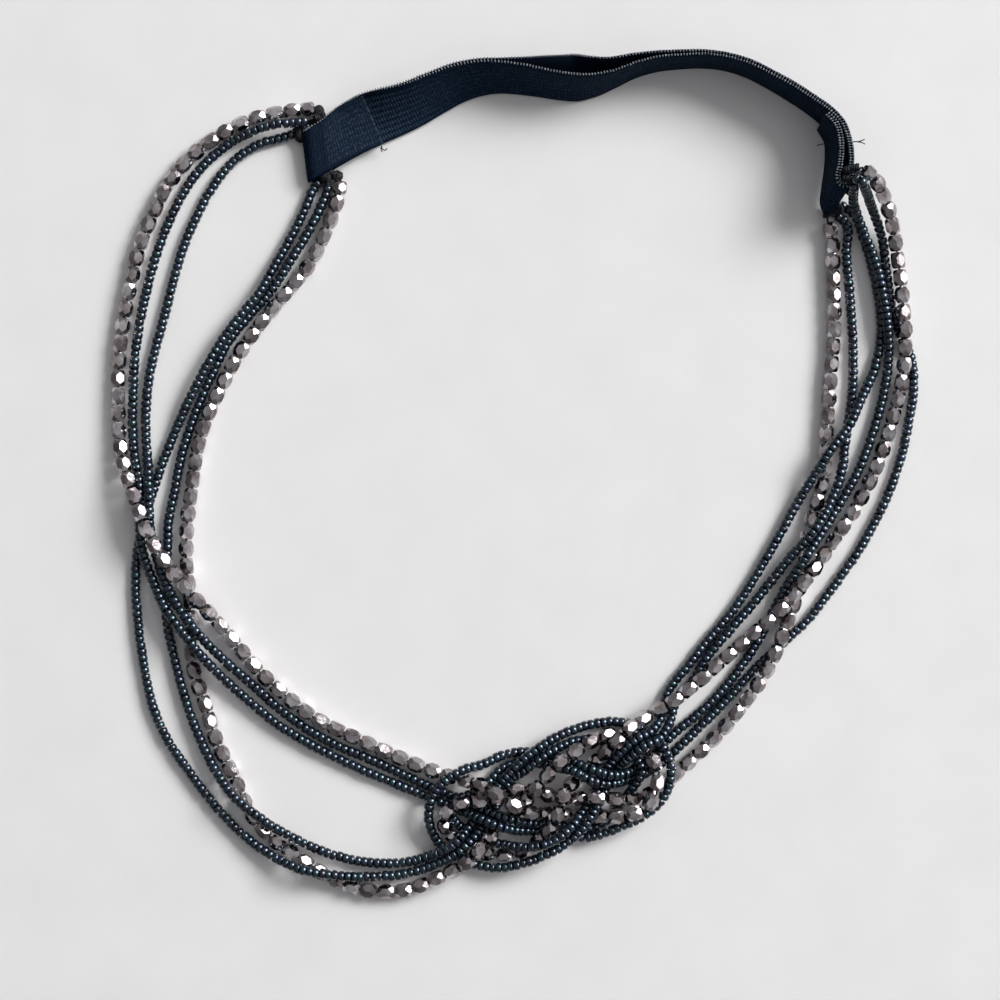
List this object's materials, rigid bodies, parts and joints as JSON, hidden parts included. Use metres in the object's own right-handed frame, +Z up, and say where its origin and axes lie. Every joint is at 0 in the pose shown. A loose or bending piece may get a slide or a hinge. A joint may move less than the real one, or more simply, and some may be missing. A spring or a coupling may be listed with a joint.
{
  "type": "beaded headband",
  "caption": "Ring-shaped headband: two loops of faceted and seed bead strands interlock in a flat double knot, closed at the back by a doubled elastic with sewn tabs.",
  "frame": {"origin": "middle of the whole headband seen from above, on the surface it lies on", "axes": "+Z up from the surface it lies on, +Y from the knot towards the elastic, +X to the right of the headband seen from above"},
  "size_m": [0.1851, 0.1927, 0.0169],
  "materials": {
    "elastic": "black knitted elastic with fine ribs and a slight sheen",
    "faceted_beads": "opaque gunmetal-coated faceted glass, mirror bright",
    "seed_beads": "opaque dark blue-green metallic glass",
    "thread": "black sewing thread"
  },
  "bodies": {
    "root": {"elastic_band": "elastic", "left_facet_beads": "faceted_beads", "left_facet_thread": "thread", "right_facet_beads": "faceted_beads", "right_facet_thread": "thread", "left_seed_outer": "seed_beads", "left_seed_inner": "seed_beads", "right_seed_outer": "seed_beads", "right_seed_inner": "seed_beads"}
  },
  "joints": []
}
